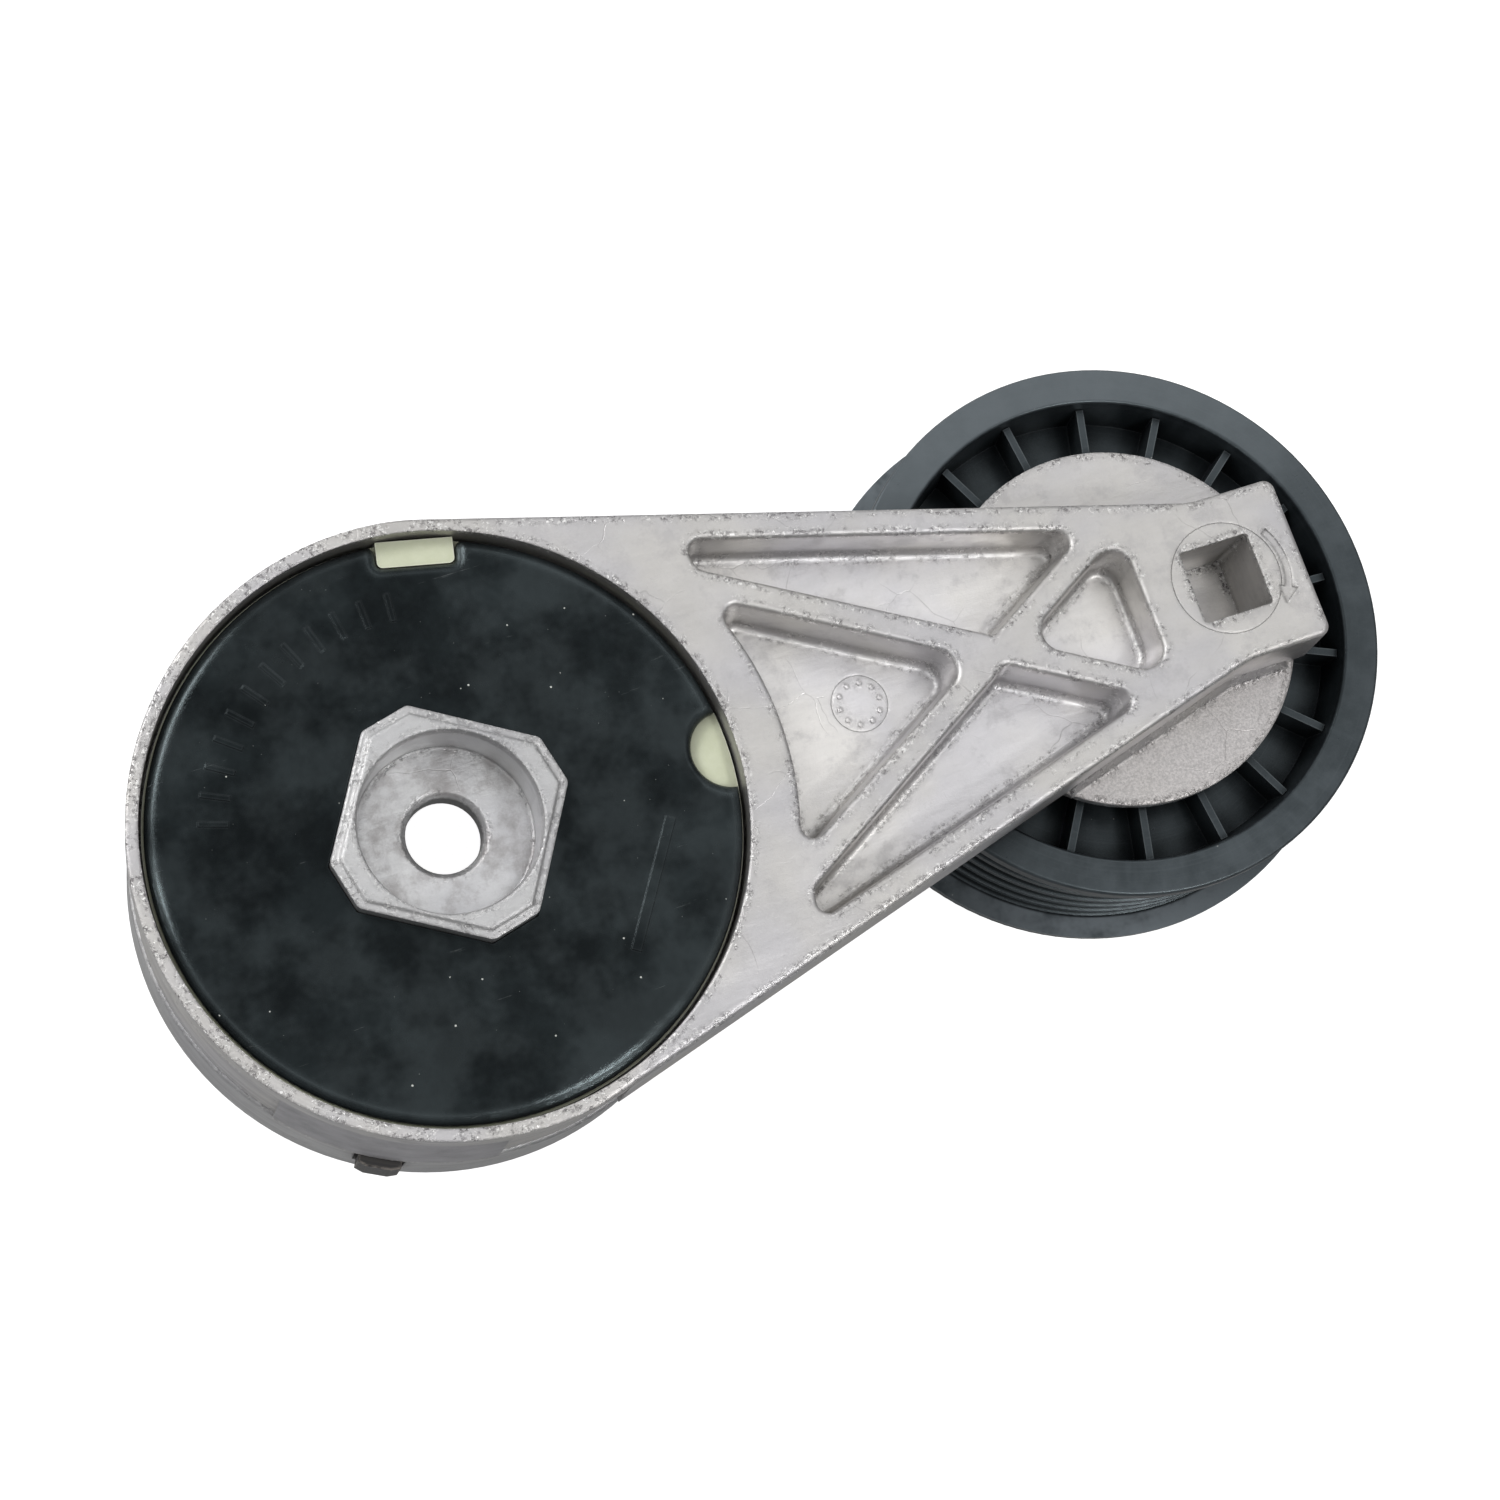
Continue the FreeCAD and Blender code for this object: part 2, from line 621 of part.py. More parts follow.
def rising_from(spots, top, low):
    """Picks the edges that run down from one of the corners at the top height to the low one."""
    corners = [(size(x), size(y)) for x, y, *rest in spots]

    def wanted(edge):
        box = edge.BoundBox
        if abs(box.ZMax - size(top)) > 0.01 or abs(box.ZMin - size(low)) > 0.01:
            return False
        high = max((vertex.Point for vertex in edge.Vertexes), key=lambda point: point.z)
        return any(math.hypot(high.x - x, high.y - y) < 0.05 for x, y in corners)
    return wanted


def make_arm():
    body = new_body("tensioner_arm")
    skirt_end = "case_height + skirt_gap"
    turned(body, [(0, skirt_end), ("skirt_r", skirt_end), ("skirt_r", "front_z - collar_depth"),
                  ("collar_r", "front_z - collar_depth + 0.6"), ("collar_r", "front_z"), (0, "front_z")])
    # beam, and the part of it that stands on the dust disc
    nose_end = "arm_reach + nose_past"
    pad(body, outline(sketch(body, height="front_z"), beam_outline("collar_r", "nose_half", nose_end)),
        "beam_depth", down=True, draft="beam_draft")
    beam_floor = "front_z - beam_depth"
    nose_corners = [(nose_end, "nose_half"), (nose_end, "-nose_half")]
    soften(body, "nose_corner_r", rising_from(nose_corners, "front_z", beam_floor))
    bay_x = "(collar_r - nose_half * cos(edge_turn)) / sin(edge_turn)"
    bays = [(bay_x, "nose_half"), (bay_x, "-nose_half")]
    soften(body, "nose_bay_r", rising_from(bays, "front_z", beam_floor))
    # deep root under the beam, next to the hub
    root_in, root_low, root_high = "root_from_x - 8", "front_z - root_depth", beam_floor + " + sink"
    root = outline(sketch(body, "XZ_Plane"), [(root_in, root_low), ("root_from_x", root_low),
                                              ("root_end_x", root_high), (root_in, root_high)])
    pad(body, root, "2 * root_half").Midplane = True
    # raised pad on the hub's side
    pad(body, outline(sketch(body, height=skirt_end),
                      sector("skirt_r - 1", "collar_r + pad_proud", "pad_from", "pad_to")),
        "front_z - pad_top_drop - (%s)" % skirt_end, draft="-pad_slope")
    # dust disc, stub for the bearing and its shoulder
    disc_top = "front_z - disc_drop"
    pad(body, ring(sketch(body, height=disc_top), "disc_r", "arm_reach"), "disc_thick", down=True)
    foot_end = nose_end + " - foot_short"
    foot = beam_outline("collar_r + 0.4", "nose_half + 0.4", foot_end, root="arm_reach - foot_from")
    pad(body, outline(sketch(body, height=disc_top + " - 0.2"), foot), "disc_drop - beam_depth + 2 * sink")
    flare = beam_outline("collar_r + foot_proud", "nose_half + foot_proud", foot_end + " - 0.7",
                         root="arm_reach - flare_from")
    pad(body, outline(sketch(body, height=disc_top + " - 0.2"), flare), "foot_high", draft="-foot_slope")
    pad(body, ring(sketch(body, height=disc_top + " - sink"), "stub_shoulder_r", "arm_reach"),
        "%s - sink - %s" % (disc_top, BEARING_FRONT), down=True)
    pad(body, ring(sketch(body, height=BEARING_BACK + " + 0.3"), "stub_r", "arm_reach"), "bearing_wide")
    pocket(body, ring(sketch(body, height=BEARING_BACK), "thread_r + seat_gap", "arm_reach"),
           "bolt_length + past", up=True)
    # hub: front recess, spring chamber, pivot bore and sleeve
    web_under = "hub_web_top - hub_web_thick"
    spool(body, 0, "rim_in_r", "hub_web_top", "front_z + past", cut=True)
    spool(body, "sleeve_out_r", "skirt_r - skirt_wall", skirt_end + " - past", web_under, cut=True)
    spool(body, "sleeve_in_r - past", "sleeve_out_r", "sleeve_end_z", web_under + " + sink")
    spool(body, 0, "sleeve_in_r", "sleeve_end_z - past", "hub_web_top + past", cut=True)
    # stop lug that hangs inside the spring case
    pad(body, outline(sketch(body, height="case_floor + 2 * stop_slack"),
                      sector("stop_in_r", "case_r - case_wall - 0.25", "stop_lug_from", "stop_lug_to")),
        web_under + " - case_floor - 1")
    # lug that the spring's inner tang pushes round
    lug_from = "tang_turn + 360 * (coil_turns - 3) + spring_lug_lead"
    lug_to = lug_from + " + spring_lug_wide"
    pad(body, outline(sketch(body, height="coil_start_z + coil_pitch * coil_turns + stop_slack"),
                      sector("spring_lug_in_r", "spring_lug_out_r", lug_from, lug_to)),
        web_under + " - coil_start_z - coil_pitch * coil_turns")
    # four pockets between the crossed ribs
    for corners, radii in pocket_outlines():
        pocket(body, outline(sketch(body, height="front_z"), corners), "pocket_depth", draft="-pocket_draft")
        for radius in sorted(set(radii)):
            spots = [corner for corner, wanted in zip(corners, radii) if wanted == radius]
            soften(body, radius, rising_from(spots, "front_z", "front_z - pocket_depth"))
    # blind square for the wrench
    half = "drive_square / 2"
    middle = "arm_reach + drive_at"
    square = block("%s - %s" % (middle, half), "%s + %s" % (middle, half), half)
    pocket(body, outline(sketch(body, height="front_z"), square), "drive_depth", draft="-drive_draft")
    soften(body, "small_edge", rising_from(square, "front_z", "front_z - drive_depth"))
    round_arm(body)
    mark_arm(body, middle)


def mark_arm(body, square_x):
    """Shallow marks: a ring with dots in the inner pocket, and a lift arrow beside the wrench square."""
    floor_z = "front_z - pocket_depth"
    spool(body, "stamp_r", "stamp_r + mark_line", floor_z + " - mark_line", floor_z + " + past",
          cut=True, axis_x="stamp_at")
    dot = sketch(body, height=floor_z + " - sink")
    bind(dot, AttachmentOffset__Base__x="stamp_at")
    dots = pad(body, ring(dot, "mark_depth * 1.4", "stamp_r - 1"), "mark_depth + sink")
    around = body.newObject("PartDesign::PolarPattern", "dots_around")
    around.Originals = [dots]
    around.Axis = (dot, ["N_Axis"])
    around.Angle = 360
    bind(around, Occurrences="stamp_dots")
    body.Tip = around
    spool(body, "insert_r", "insert_r + mark_line", "front_z - mark_line", "front_z + past",
          cut=True, axis_x=square_x)
    shaft = sketch(body, height="front_z")
    bind(shaft, AttachmentOffset__Base__x=square_x)
    pocket(body, outline(shaft, sector("arrow_in_r", "arrow_out_r", "arrow_from", "arrow_to")), "mark_depth")
    head = sketch(body, height="front_z", turn="arrow_from")
    bind(head, AttachmentOffset__Base__x=square_x)
    point = ("(arrow_in_r + arrow_out_r) / 2 - 0.2", "-arrow_head")
    pocket(body, outline(head, [("arrow_in_r - 0.9", 0), point, ("arrow_out_r + 0.9", 0)]), "mark_depth")


def round_arm(body):
    """Cast radii: pocket floors, then every edge of the front face."""
    floor_z = "front_z - pocket_depth"
    soften(body, "floor_r", lambda edge: level(edge, floor_z))
    hub_x, square_x = size("rim_in_r + 2"), size("arm_reach + drive_at - drive_square")
    soften(body, "front_edge_r", lambda edge: level(edge, "front_z")
           and edge.BoundBox.XMax > hub_x and edge.BoundBox.XMin < square_x)


def pocket_outlines():
    """Outlines at the front face: the two outer pockets, then the inner and the tip pocket."""
    edge = "collar_r - edge_wall"
    half_rib = "(rib_wide / 2 / sin(rib_turn))"
    near, far = "(rib_cross - %s)" % half_rib, "(rib_cross + %s)" % half_rib
    slope = "tan(rib_turn)"

    def on_edge(x):
        return edge_height(edge, x)

    # outer pocket: long edge above, falling rib below, rising rib on the right
    tip_x = "((%s) / cos(edge_turn) + %s * %s) / (%s + %s)" % (edge, near, slope, LONG_EDGE, slope)
    tip_y = "((%s) - %s) * %s" % (tip_x, near, slope)
    meet_x = "(%s + %s) / 2" % (near, far)
    meet_y = "(%s - %s) / 2 * %s" % (far, near, slope)
    left = "outer_pocket_r * cos(29)"
    left_low = "(%s - (%s)) * %s" % (far, left, slope)
    left_high_x = "outer_pocket_r * cos(31.5)"
    outer = [(meet_x, meet_y), (tip_x, tip_y), (left_high_x, on_edge(left_high_x)), (left, left_low)]
    mirrored = [(x, "-(%s)" % y) for x, y in reversed(outer)]
    # inner pocket: arc along the hub, closed by the two ribs
    corner_x = "inner_pocket_r * cos(20.2)"
    corner_y = "(%s - %s) * %s" % (near, corner_x, slope)
    inner = [(near, 0), (corner_x, corner_y, "-inner_pocket_r"), (corner_x, "-(%s)" % corner_y)]
    tip_high = "(tip_wall_x - %s) * %s" % (far, slope)
    tip = [(far, 0), ("tip_wall_x", "-(%s)" % tip_high), ("tip_wall_x", tip_high)]
    sharp, end, wide = "rib_corner_r", "end_corner_r", "wide_corner_r"
    return ((outer, (sharp, end, end, end)), (mirrored, (end, end, end, sharp)),
            (inner, (wide, end, end)), (tip, (wide, wide, wide)))


# ---------------------------------------------------------------- pulley

def groove_corners():
    """The rim's outer line from the back flange to the front flange, as (r, z) corners."""
    corners = [("back_flange_r", "pulley_back_z"), ("back_flange_r", "pulley_back_z + back_flange")]
    floor_r = "crest_r - groove_depth"
    for number in range(int(size("grooves"))):
        middle = "pulley_back_z + back_flange + groove_top / 2 + belt_pitch * %d" % number
        corners += [("crest_r", middle + " - groove_top / 2"), (floor_r, middle + " - groove_floor / 2"),
                    (floor_r, middle + " + groove_floor / 2"), ("crest_r", middle + " + groove_top / 2")]
    front = "pulley_back_z + %s" % PULLEY_WIDE
    return corners + [("front_flange_r", front + " - front_flange"), ("front_flange_r", front)]


def make_pulley():
    body = new_body("pulley")
    front = "pulley_back_z + %s" % PULLEY_WIDE
    under_lip = "lip_r - rim_taper"
    hub_front, hub_back = BEARING_FRONT + " + bearing_shoulder", BEARING_BACK + " - bearing_shoulder"
    ledge, seat = "bearing_out_r - bearing_shoulder", "bearing_out_r + seat_gap"
    seat_front, seat_back = BEARING_FRONT + " + seat_gap", BEARING_BACK + " - seat_gap"
    turned(body, [*groove_corners(), ("lip_r", front), (under_lip, "web_front_z"),
                  ("pulley_hub_r", "web_front_z"), ("pulley_hub_r - hub_taper", hub_front), (ledge, hub_front),
                  (ledge, seat_front), (seat, seat_front), (seat, seat_back), (ledge, seat_back),
                  (ledge, hub_back), ("pulley_hub_r - hub_taper", hub_back), ("pulley_hub_r", "web_back_z"),
                  (under_lip, "web_back_z"), ("lip_r", "pulley_back_z")], axis_x="arm_reach")
    ribs = []
    for low, high in (("web_front_z - sink", "rib_front_z"), ("pulley_back_z + 2", "web_back_z + sink")):
        rib = sketch(body, height=low, turn="rib_phase")
        bind(rib, AttachmentOffset__Base__x="arm_reach")
        outline(rib, block("pulley_hub_r - 2 * sink", under_lip + " + sink", "rib_thick / 2"))
        ribs.append(pad(body, rib, "%s - (%s)" % (high, low)))
    around = body.newObject("PartDesign::PolarPattern", "ribs_around")
    around.Originals = ribs
    around.Axis = (rib, ["N_Axis"])
    around.Angle = 360
    bind(around, Occurrences="pulley_ribs")
    body.Tip = around
    soften(body, "small_edge", lambda edge: level(edge, front) or level(edge, "pulley_back_z"))


# ---------------------------------------------------------------- ball bearing

def track(land, side):
    """Two corners of a ring's outline; the ball track between them is an arc a little wider than the ball."""
    arc_r = "(ball_r * race_open)"
    toward, first, last = ("-", "-", "+") if side == "inner" else ("+", "+", "-")
    middle_r = "(ball_circle_r %s (ball_r + race_gap - %s))" % (toward, arc_r)
    half = "sqrt(%s ^ 2 - (%s - %s) ^ 2)" % (arc_r, middle_r, land)
    return [(land, "%s %s %s" % (PULLEY_MIDDLE, first, half), "-" + arc_r),
            (land, "%s %s %s" % (PULLEY_MIDDLE, last, half))]


def make_rings():
    inner = new_body("bearing_inner_ring")
    turned(inner, [("bearing_bore_r", BEARING_BACK), ("inner_land_r", BEARING_BACK),
                   *track("inner_land_r", "inner"),
                   ("inner_land_r", BEARING_FRONT), ("bearing_bore_r", BEARING_FRONT)], axis_x="arm_reach")
    soften(inner, "bearing_edge", lambda edge: level(edge, BEARING_BACK) or level(edge, BEARING_FRONT))
    outer = new_body("bearing_outer_ring")
    seat = "seal_inset + seal_thick + 0.1"
    turned(outer, [("bearing_out_r", BEARING_BACK), ("bearing_out_r", BEARING_FRONT),
                   ("seal_groove_r", BEARING_FRONT), ("seal_groove_r", "%s - (%s)" % (BEARING_FRONT, seat)),
                   ("outer_land_r", "%s - (%s)" % (BEARING_FRONT, seat)),
                   *track("outer_land_r", "outer"),
                   ("outer_land_r", "%s + (%s)" % (BEARING_BACK, seat)),
                   ("seal_groove_r", "%s + (%s)" % (BEARING_BACK, seat)),
                   ("seal_groove_r", BEARING_BACK)], axis_x="arm_reach")


def make_seal(label, near, far):
    """Rubber ring with a raised lip line, between two heights."""
    body = new_body(label)
    middle = "(inner_land_r + seal_groove_r) / 2"
    lip, edge = "inner_land_r + seal_lip_gap", "seal_groove_r - seat_gap"
    valley = "%s + ((%s) - (%s)) * 0.3" % (near, far, near)
    corners = [(lip, far), (edge, far), (edge, near), (middle + " + 2 * seal_valley", near),
               (middle + " + seal_valley", valley), (middle + " - seal_valley", valley),
               (middle + " - 2 * seal_valley", near), (lip, near)]
    turned(body, corners, axis_x="arm_reach")


def make_balls_and_cage():
    balls = []
    pockets = []
    rivets = []
    rivet_holes = []
    count = int(size("balls"))
    for number in range(count):
        for group, kind, angle in ((balls, "ball", number), (pockets, "pocket", number),
                                   (rivets, "rivet", number + 0.5), (rivet_holes, "hole", number + 0.5)):
            item = doc.addObject("Part::Sphere" if kind in ("ball", "pocket") else "Part::Cylinder", kind)
            turn = "%g" % (360 * angle / count)
            if kind in ("ball", "pocket"):
                radius = "ball_r" if kind == "ball" else "ball_r + cage_gap"
                bind(item, Radius=radius, Placement__Base__z=PULLEY_MIDDLE)
            else:
                grow = "0" if kind == "rivet" else "seat_gap"
                bind(item, Radius="rivet_r + %s" % grow, Height="2 * cage_thick + 0.3 + %s" % grow,
                     Placement__Base__z="%s - cage_thick - 0.15 - %s / 2" % (PULLEY_MIDDLE, grow))
            bind(item, Placement__Base__x="arm_reach + ball_circle_r * cos(%s)" % turn,
                 Placement__Base__y="ball_circle_r * sin(%s)" % turn)
            group.append(item)
    for label, group in (("bearing_balls", balls), ("cage_rivets", rivets)):
        together = doc.addObject("Part::Compound", label)
        together.Links = group
        keep(together, label)
    holes = doc.addObject("Part::MultiFuse", "cage_openings")
    holes.Shapes = pockets + rivet_holes
    for label, low in (("bearing_cage_front", PULLEY_MIDDLE + " + 0.01"),
                       ("bearing_cage_back", PULLEY_MIDDLE + " - cage_thick - 0.01")):
        walls = []
        for name, radius in (("cage_outside", "outer_land_r - 0.9"), ("cage_inside", "inner_land_r + 0.7")):
            wall = doc.addObject("Part::Cylinder", name)
            bind(wall, Radius=radius, Height="cage_thick", Placement__Base__x="arm_reach",
                 Placement__Base__z=low)
            walls.append(wall)
        band = doc.addObject("Part::Cut", "cage_band")
        band.Base, band.Tool = walls
        cage = doc.addObject("Part::Cut", label)
        cage.Base = band
        cage.Tool = holes
        keep(cage, label)


# ---------------------------------------------------------------- pulley fasteners

def make_bolt():
    body = new_body("pulley_bolt")
    seat = BEARING_BACK + " - shield_thick - 2 * seat_gap"
    shank_end = BEARING_BACK + " + bolt_length"
    turned(body, [(0, seat), ("thread_r", seat), ("thread_r", shank_end + " - 0.8"),
                  ("thread_r - 0.8", shank_end), (0, shank_end)], axis_x="arm_reach")
    flange_back = seat + " - bolt_flange_thick"
    turned(body, [(0, flange_back), ("bolt_flange_r", flange_back), ("bolt_flange_r", seat + " - 0.4"),
                  ("bolt_flange_r - 0.4", seat), (0, seat)], axis_x="arm_reach")
    corner_r = "(bolt_hex / 2 / cos(30))"
    hexagon = [("%s * cos(%d)" % (corner_r, angle), "%s * sin(%d)" % (corner_r, angle))
               for angle in range(0, 360, 60)]
    head_back = flange_back + " - bolt_head"
    head = sketch(body, height=head_back)
    bind(head, AttachmentOffset__Base__x="arm_reach")
    pad(body, outline(head, hexagon), "bolt_head + 0.2")
    soften(body, "bolt_head_chamfer", lambda edge: level(edge, head_back), kind="Chamfer")


def make_shield():
    body = new_body("rear_dust_shield")
    top = BEARING_BACK + " - seat_gap"
    bore, cone_in, cone_out = "thread_r + 0.15", "inner_land_r - 1.1 * shield_cone", "inner_land_r - 0.1"
    outer_top = top + " - shield_cone"
    turned(body, [(bore, top + " - shield_thick"), (cone_in + " - 0.1", top + " - shield_thick"),
                  (cone_out + " - 0.1", outer_top + " - shield_thick"),
                  ("shield_r", outer_top + " - shield_thick"), ("shield_r", outer_top), (cone_out, outer_top),
                  (cone_in, top), (bore, top)], axis_x="arm_reach")


def finish():
    doc.recompute()
    bad = [item.Name for item in doc.Objects if {"Invalid", "Error"} & set(item.State)]
    if bad:
        raise SystemExit("failed objects: %s" % bad)
    os.makedirs("parts", exist_ok=True)
    for item in made:
        if item.Shape.isNull() or not item.Shape.isValid():
            raise SystemExit("%s has a bad shape" % item.Label)
        item.Shape.exportStep("parts/%s.step" % item.Label)


make_base()
make_pin()
make_plate()
make_damper()
make_cone_spring()
make_bushings()
make_spring()
make_arm()
make_pulley()
make_rings()
make_seal("bearing_seal_front", BEARING_FRONT + " - seal_inset", BEARING_FRONT + " - seal_inset - seal_thick")
make_seal("bearing_seal_back", BEARING_BACK + " + seal_inset", BEARING_BACK + " + seal_inset + seal_thick")
make_balls_and_cage()
make_bolt()
make_shield()
finish()
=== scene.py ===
import math

import bpy
from mathutils import Matrix, Vector


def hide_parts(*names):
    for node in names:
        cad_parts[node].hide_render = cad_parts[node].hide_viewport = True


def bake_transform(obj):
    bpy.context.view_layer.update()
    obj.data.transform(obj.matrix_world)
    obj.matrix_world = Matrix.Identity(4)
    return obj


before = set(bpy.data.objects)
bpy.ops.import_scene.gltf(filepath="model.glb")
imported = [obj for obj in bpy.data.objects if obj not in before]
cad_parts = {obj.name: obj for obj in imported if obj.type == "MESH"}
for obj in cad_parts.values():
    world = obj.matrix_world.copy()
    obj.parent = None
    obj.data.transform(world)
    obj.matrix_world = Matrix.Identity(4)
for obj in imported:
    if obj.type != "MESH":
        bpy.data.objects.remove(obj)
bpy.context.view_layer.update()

# places on the part, mm
PULLEY_X = 103.0                # pulley axis from the pivot axis
PIN_X = -25.98                  # locating pin
FRONT_Z = 37.5                  # the arm's front face
POCKET_FLOOR_Z = FRONT_Z - 7.5
DISC_Z = FRONT_Z - 11.4         # the dust disc's face
BOLT_SEAT_Z = 29.9              # the floor of the bolt-head recess
HUB_WALL_R = 41.0               # the hub's wall lies outside this
PLATE_ROLL_R = 34.0             # the plate's rolled edge begins about here
PULLEY_FRONT_Z = 25.8           # the pulley's front face
BACK_FLANGE_Z = 3.4             # the back flange's front face
FLANGE_R = 38.0                 # the flanges stand outside this
PAD_DEGREES = (-139.9, -97.2)   # the raised pad on the hub's side
PAD_Z = (16.2, 33.2)
TABLE_Z = -0.0072               # m, just under the locating pin


# ---------------------------------------------------------------- building a material

class Nodes:
    """Short ways to add nodes to a tree."""

    def __init__(self, tree):
        self.tree = tree

    def add(self, kind, inputs=None, out=0, **settings):
        """A new node with its inputs joined or set; gives one output, or the node when out is None."""
        node = self.tree.nodes.new("ShaderNode" + kind)
        for key, value in settings.items():
            setattr(node, key, value)
        for key, value in (inputs or {}).items():
            if isinstance(value, bpy.types.NodeSocket):
                self.tree.links.new(value, node.inputs[key])
            else:
                node.inputs[key].default_value = value
        return node if out is None else node.outputs[out]

    def math(self, operation, *values):
        return self.add("Math", dict(enumerate(values)), operation=operation)

    def total(self, *values):
        result = values[0]
        for value in values[1:]:
            result = self.math("ADD", result, value)
        return result

    def times(self, *values):
        result = values[0]
        for value in values[1:]:
            result = self.math("MULTIPLY", result, value)
        return result

    def step(self, value, low, high, start=0.0, stop=1.0):
        """Smooth climb from start to stop as the value goes from low to high."""
        inputs = {"Value": value, "From Min": low, "From Max": high, "To Min": start, "To Max": stop}
        return self.add("MapRange", inputs, interpolation_type="SMOOTHSTEP")

    def between(self, value, low, high, soft):
        """1 inside a range and 0 outside it."""
        above = self.step(value, low - soft, low + soft)
        return self.times(above, self.step(value, high + soft, high - soft))


class Look(Nodes):
    """A node material under construction. Lengths are in millimetres in the frame of the part."""

    def __init__(self, name):
        self.material = bpy.data.materials.new(name)
        self.material.use_nodes = True
        super().__init__(self.material.node_tree)
        self.shader = self.tree.nodes["Principled BSDF"]
        place = self.add("TexCoord", out="Object")
        self.mm = self.add("VectorMath", {0: place, "Scale": 1000.0}, operation="SCALE")
        spread = self.add("SeparateXYZ", {0: self.mm}, out=None)
        self.x, self.y, self.z = spread.outputs

    def set(self, **inputs):
        for key, value in inputs.items():
            socket = self.shader.inputs[key.replace("_", " ")]
            if isinstance(value, bpy.types.NodeSocket):
                self.tree.links.new(value, socket)
            else:
                socket.default_value = value

    def spot(self, stretch=(1, 1, 1), shift=0.0):
        """The place in millimetres, stretched and moved so that patterns differ."""
        moved = self.add("VectorMath", {0: self.mm, 1: (shift, shift * 0.7, -shift)}, operation="ADD")
        return self.add("VectorMath", {0: moved, 1: stretch}, operation="MULTIPLY")

    def noise(self, grain, detail=3.0, rough=0.55, stretch=(1, 1, 1), shift=0.0, place=None):
        """Noise with features about one grain across."""
        inputs = {"Vector": place or self.spot(stretch, shift), "Scale": 1.0 / grain, "Detail": detail,
                  "Roughness": rough}
        return self.add("TexNoise", inputs)

    def cells(self, grain, feature="F1", shift=0.0, place=None):
        """Cells about one grain across: the distance to a cell's point or to its edge."""
        inputs = {"Vector": place or self.spot(shift=shift), "Scale": 1.0 / grain}
        return self.add("TexVoronoi", inputs, feature=feature)

    def warped(self, amount, grain):
        """The place pushed about by noise, for lines that wander."""
        push = self.add("TexNoise", {"Vector": self.mm, "Scale": 1.0 / grain, "Detail": 2.0}, out="Color")
        centred = self.add("VectorMath", {0: push, 1: (0.5, 0.5, 0.5)}, operation="SUBTRACT")
        scaled = self.add("VectorMath", {0: centred, "Scale": amount}, operation="SCALE")
        return self.add("VectorMath", {0: self.mm, 1: scaled}, operation="ADD")

    def mix(self, share, first, second):
        """Colour between first and second; plain colours are given as three numbers."""
        ends = [(*end, 1.0) if isinstance(end, tuple) else end for end in (first, second)]
        return self.add("Mix", {0: share, 6: ends[0], 7: ends[1]}, out=2, data_type="RGBA")

    def scale_colour(self, colour, amount):
        """A colour made lighter or darker by a factor."""
        return self.add("VectorMath", {0: colour, "Scale": amount}, operation="SCALE")

    def edge(self, radius, full=0.90):
        """1 along edges and tight rounds, 0 on flat ground."""
        bent = self.add("Bevel", {"Radius": radius * 0.001}, samples=6)
        normal = self.add("NewGeometry", out="Normal")
        turn = self.add("VectorMath", {0: bent, 1: normal}, operation="DOT_PRODUCT", out="Value")
        return self.step(turn, 0.998, full)

    def crease(self, reach):
        """1 deep in corners and cavities, 0 in the open."""
        opened = self.add("AmbientOcclusion", {"Distance": reach * 0.001}, samples=4, out="AO")
        return self.step(opened, 0.95, 0.35)

    def facing_up(self):
        normal = self.add("NewGeometry", out="True Normal")
        return self.step(self.add("SeparateXYZ", {0: normal}, out="Z"), 0.93, 0.985)

    def around(self, centre_x):
        """Radius from an axis along Z, and the angle about it in radians."""
        across = self.math("SUBTRACT", self.x, centre_x)
        radius = self.math("SQRT", self.total(self.times(across, across), self.times(self.y, self.y)))
        return radius, self.math("ARCTAN2", self.y, across)

    def polar(self, centre_x, across, along, height):
        """A place for patterns that run along the radius or round the axis."""
        radius, angle = self.around(centre_x)
        parts = {0: self.times(angle, across), 1: self.times(radius, along), 2: self.times(self.z, height)}
        return self.add("CombineXYZ", parts)

    def bump(self, height, soft=0.0):
        """Relief from a height in millimetres, over edges that look rounded when soft is above 0."""
        inputs = {"Height": height, "Distance": 0.001, "Strength": 1.0}
        if soft:
            inputs["Normal"] = self.add("Bevel", {"Radius": self.times(soft, 0.001)}, samples=6)
        self.set(Normal=self.add("Bump", inputs))


# ---------------------------------------------------------------- materials

